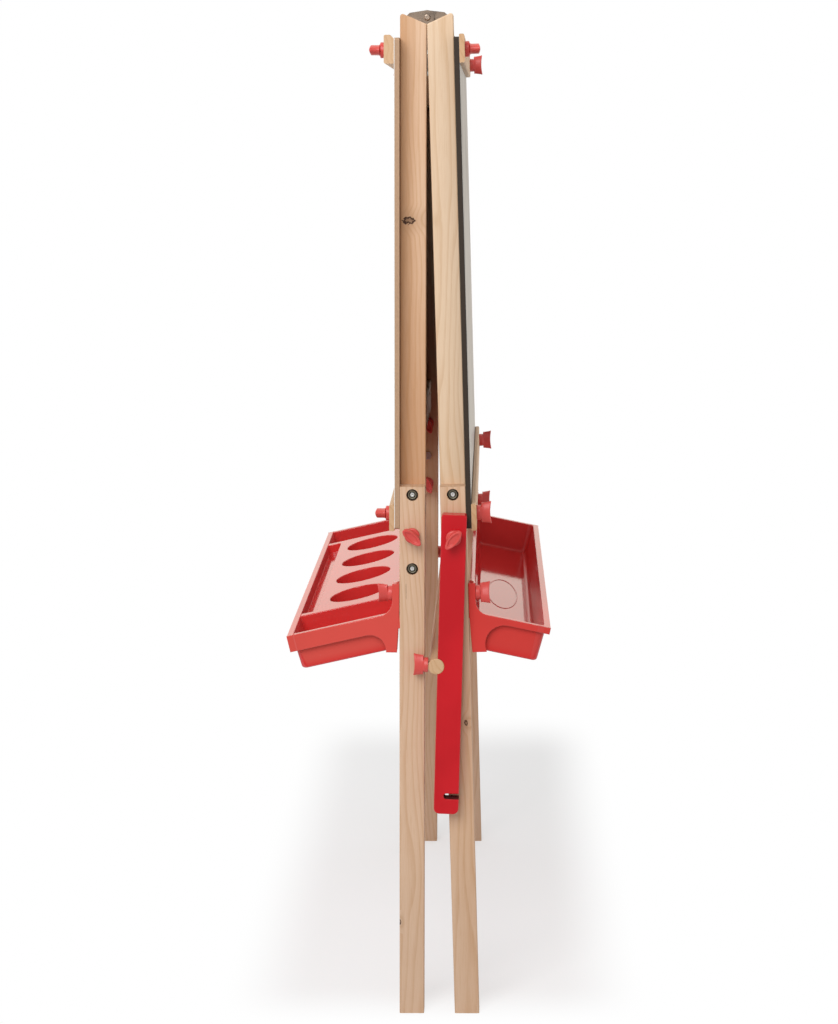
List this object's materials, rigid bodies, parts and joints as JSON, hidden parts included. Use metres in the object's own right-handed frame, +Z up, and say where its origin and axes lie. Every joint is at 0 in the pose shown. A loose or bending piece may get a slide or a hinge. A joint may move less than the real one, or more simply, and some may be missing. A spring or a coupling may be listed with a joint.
{
  "type": "kids easel",
  "caption": "Double-sided wooden standing easel for children, nearly folded, with a dry-erase board, a chalkboard, clamp bars, red wing knobs, trays and braces.",
  "frame": {"origin": "middle of the easel on the floor, midway between the front edges of its trays", "axes": "+Z up, Y along the hinge line and X across the two frames, with the chalkboard on the +X side"},
  "size_m": [0.3132, 0.69, 1.1978],
  "materials": {
    "pine": "clear-lacquered pine",
    "white_board": "hardboard with a white dry-erase face",
    "black_board": "hardboard with a matt black chalk face",
    "red_knob": "moulded, satin",
    "red_tray": "moulded, glossy",
    "red_paint": "gloss red paint on wood",
    "steel": "zinc plated",
    "bronzed_steel": "bronzed"
  },
  "bodies": {
    "dry_erase_frame": {"dry_erase_post_left": "pine", "dry_erase_post_right": "pine", "dry_erase_leg_left": "pine", "dry_erase_leg_right": "pine", "dry_erase_hinge_leaf_left": "bronzed_steel", "dry_erase_hinge_leaf_right": "bronzed_steel", "dry_erase_top_rail": "pine", "dry_erase_bottom_rail": "pine", "dry_erase_board": "white_board", "dry_erase_leg_bolts": "steel", "dry_erase_leg_nuts": "red_knob", "dry_erase_hinge_screws": "steel", "dry_erase_studs": "steel", "hook_bolts": "steel", "hinge_rivets": "bronzed_steel", "cup_tray": "red_tray"},
    "chalkboard_frame": {"chalkboard_post_left": "pine", "chalkboard_post_right": "pine", "chalkboard_leg_left": "pine", "chalkboard_leg_right": "pine", "chalkboard_hinge_leaf_left": "bronzed_steel", "chalkboard_hinge_leaf_right": "bronzed_steel", "chalkboard_top_rail": "pine", "chalkboard_bottom_rail": "pine", "chalkboard": "black_board", "chalkboard_leg_bolts": "steel", "chalkboard_leg_nuts": "red_knob", "chalkboard_hinge_screws": "steel", "chalkboard_studs": "steel", "pivot_bolts": "steel", "open_tray": "red_tray"},
    "braces": {"brace_left": "red_paint", "brace_right": "red_paint", "paper_roll_rod": "pine", "rod_screws": "steel", "rod_knobs": "red_knob"},
    "dry_erase_top_bar": {"dry_erase_top_bar": "pine"},
    "dry_erase_top_knob_left": {"dry_erase_top_knob_left": "red_knob"},
    "dry_erase_top_knob_right": {"dry_erase_top_knob_right": "red_knob"},
    "dry_erase_bottom_bar": {"dry_erase_bottom_bar": "pine"},
    "dry_erase_bottom_knob_left": {"dry_erase_bottom_knob_left": "red_knob"},
    "dry_erase_bottom_knob_right": {"dry_erase_bottom_knob_right": "red_knob"},
    "dry_erase_tray_knob_left": {"dry_erase_tray_knob_left": "red_knob"},
    "dry_erase_tray_knob_right": {"dry_erase_tray_knob_right": "red_knob"},
    "chalkboard_top_bar": {"chalkboard_top_bar": "pine"},
    "chalkboard_top_knob_left": {"chalkboard_top_knob_left": "red_knob"},
    "chalkboard_top_knob_right": {"chalkboard_top_knob_right": "red_knob"},
    "chalkboard_bottom_bar": {"chalkboard_bottom_bar": "pine"},
    "chalkboard_bottom_knob_left": {"chalkboard_bottom_knob_left": "red_knob"},
    "chalkboard_bottom_knob_right": {"chalkboard_bottom_knob_right": "red_knob"},
    "chalkboard_tray_knob_left": {"chalkboard_tray_knob_left": "red_knob"},
    "chalkboard_tray_knob_right": {"chalkboard_tray_knob_right": "red_knob"},
    "hook_knob_left": {"hook_knob_left": "red_knob"},
    "hook_knob_right": {"hook_knob_right": "red_knob"},
    "pivot_knob_left": {"pivot_knob_left": "red_knob"},
    "pivot_knob_right": {"pivot_knob_right": "red_knob"}
  },
  "joints": [
    {"name": "fold", "type": "hinge", "parent": "dry_erase_frame", "child": "chalkboard_frame", "pos_m": [0.01905, 0, 1.18985], "axis": [0, -1, 0], "range_deg": [0, 26.1]},
    {"name": "brace_swing", "type": "hinge", "parent": "chalkboard_frame", "child": "braces", "pos_m": [0.04343, 0, 0.59916], "axis": [0, 1, 0], "range_deg": [0, 94.74]},
    {"name": "dry_erase_top_bar_slide", "type": "slide", "parent": "dry_erase_frame", "child": "dry_erase_top_bar", "axis": [-0.9999, 0, 0.0159], "range_m": [0, 0.006]},
    {"name": "dry_erase_top_knob_left_turn", "type": "hinge", "parent": "dry_erase_top_bar", "child": "dry_erase_top_knob_left", "pos_m": [-0.02893, -0.28, 1.15381], "axis": [-0.9999, 0, 0.0159], "continuous": true},
    {"name": "dry_erase_top_knob_right_turn", "type": "hinge", "parent": "dry_erase_top_bar", "child": "dry_erase_top_knob_right", "pos_m": [-0.02893, 0.28, 1.15381], "axis": [-0.9999, 0, 0.0159], "continuous": true},
    {"name": "dry_erase_bottom_bar_slide", "type": "slide", "parent": "dry_erase_frame", "child": "dry_erase_bottom_bar", "axis": [-0.9999, 0, 0.0159], "range_m": [0, 0.006]},
    {"name": "dry_erase_bottom_knob_left_turn", "type": "hinge", "parent": "dry_erase_bottom_bar", "child": "dry_erase_bottom_knob_left", "pos_m": [-0.03201, -0.28, 0.61979], "axis": [-0.9999, 0, 0.0159], "continuous": true},
    {"name": "dry_erase_bottom_knob_right_turn", "type": "hinge", "parent": "dry_erase_bottom_bar", "child": "dry_erase_bottom_knob_right", "pos_m": [-0.03201, 0.28, 0.61979], "axis": [-0.9999, 0, 0.0159], "continuous": true},
    {"name": "dry_erase_tray_knob_left_turn", "type": "hinge", "parent": "dry_erase_frame", "child": "dry_erase_tray_knob_left", "pos_m": [-0.03008, -0.3, 0.52755], "axis": [-0.9999, 0, 0.0159], "continuous": true},
    {"name": "dry_erase_tray_knob_right_turn", "type": "hinge", "parent": "dry_erase_frame", "child": "dry_erase_tray_knob_right", "pos_m": [-0.03008, 0.3, 0.52755], "axis": [-0.9999, 0, 0.0159], "continuous": true},
    {"name": "chalkboard_top_bar_slide", "type": "slide", "parent": "chalkboard_frame", "child": "chalkboard_top_bar", "axis": [0.9999, 0, 0.0159], "range_m": [0, 0.006]},
    {"name": "chalkboard_top_knob_left_turn", "type": "hinge", "parent": "chalkboard_top_bar", "child": "chalkboard_top_knob_left", "pos_m": [0.06162, -0.28, 1.15372], "axis": [0.9999, 0, 0.0159], "continuous": true},
    {"name": "chalkboard_top_knob_right_turn", "type": "hinge", "parent": "chalkboard_top_bar", "child": "chalkboard_top_knob_right", "pos_m": [0.06162, 0.28, 1.15372], "axis": [0.9999, 0, 0.0159], "continuous": true},
    {"name": "chalkboard_bottom_bar_slide", "type": "slide", "parent": "chalkboard_frame", "child": "chalkboard_bottom_bar", "axis": [0.9999, 0, 0.0159], "range_m": [0, 0.006]},
    {"name": "chalkboard_bottom_knob_left_turn", "type": "hinge", "parent": "chalkboard_bottom_bar", "child": "chalkboard_bottom_knob_left", "pos_m": [0.07011, -0.28, 0.61979], "axis": [0.9999, 0, 0.0159], "continuous": true},
    {"name": "chalkboard_bottom_knob_right_turn", "type": "hinge", "parent": "chalkboard_bottom_bar", "child": "chalkboard_bottom_knob_right", "pos_m": [0.07011, 0.28, 0.61979], "axis": [0.9999, 0, 0.0159], "continuous": true},
    {"name": "chalkboard_tray_knob_left_turn", "type": "hinge", "parent": "chalkboard_frame", "child": "chalkboard_tray_knob_left", "pos_m": [0.06817, -0.3, 0.52755], "axis": [0.9999, 0, 0.0159], "continuous": true},
    {"name": "chalkboard_tray_knob_right_turn", "type": "hinge", "parent": "chalkboard_frame", "child": "chalkboard_tray_knob_right", "pos_m": [0.06817, 0.3, 0.52755], "axis": [0.9999, 0, 0.0159], "continuous": true},
    {"name": "hook_knob_left_turn", "type": "hinge", "parent": "dry_erase_frame", "child": "hook_knob_left", "pos_m": [-0.00534, -0.3115, 0.59916], "axis": [0, -1, 0], "continuous": true},
    {"name": "hook_knob_right_turn", "type": "hinge", "parent": "dry_erase_frame", "child": "hook_knob_right", "pos_m": [-0.00534, 0.3115, 0.59916], "axis": [0, 1, 0], "continuous": true},
    {"name": "pivot_knob_left_turn", "type": "hinge", "parent": "chalkboard_frame", "child": "pivot_knob_left", "pos_m": [0.04343, -0.3275, 0.59916], "axis": [0, -1, 0], "continuous": true},
    {"name": "pivot_knob_right_turn", "type": "hinge", "parent": "chalkboard_frame", "child": "pivot_knob_right", "pos_m": [0.04343, 0.3275, 0.59916], "axis": [0, 1, 0], "continuous": true}
  ],
  "couplings": [
    {"joint": "brace_swing", "follows": "fold", "ratio": 3.63}
  ]
}
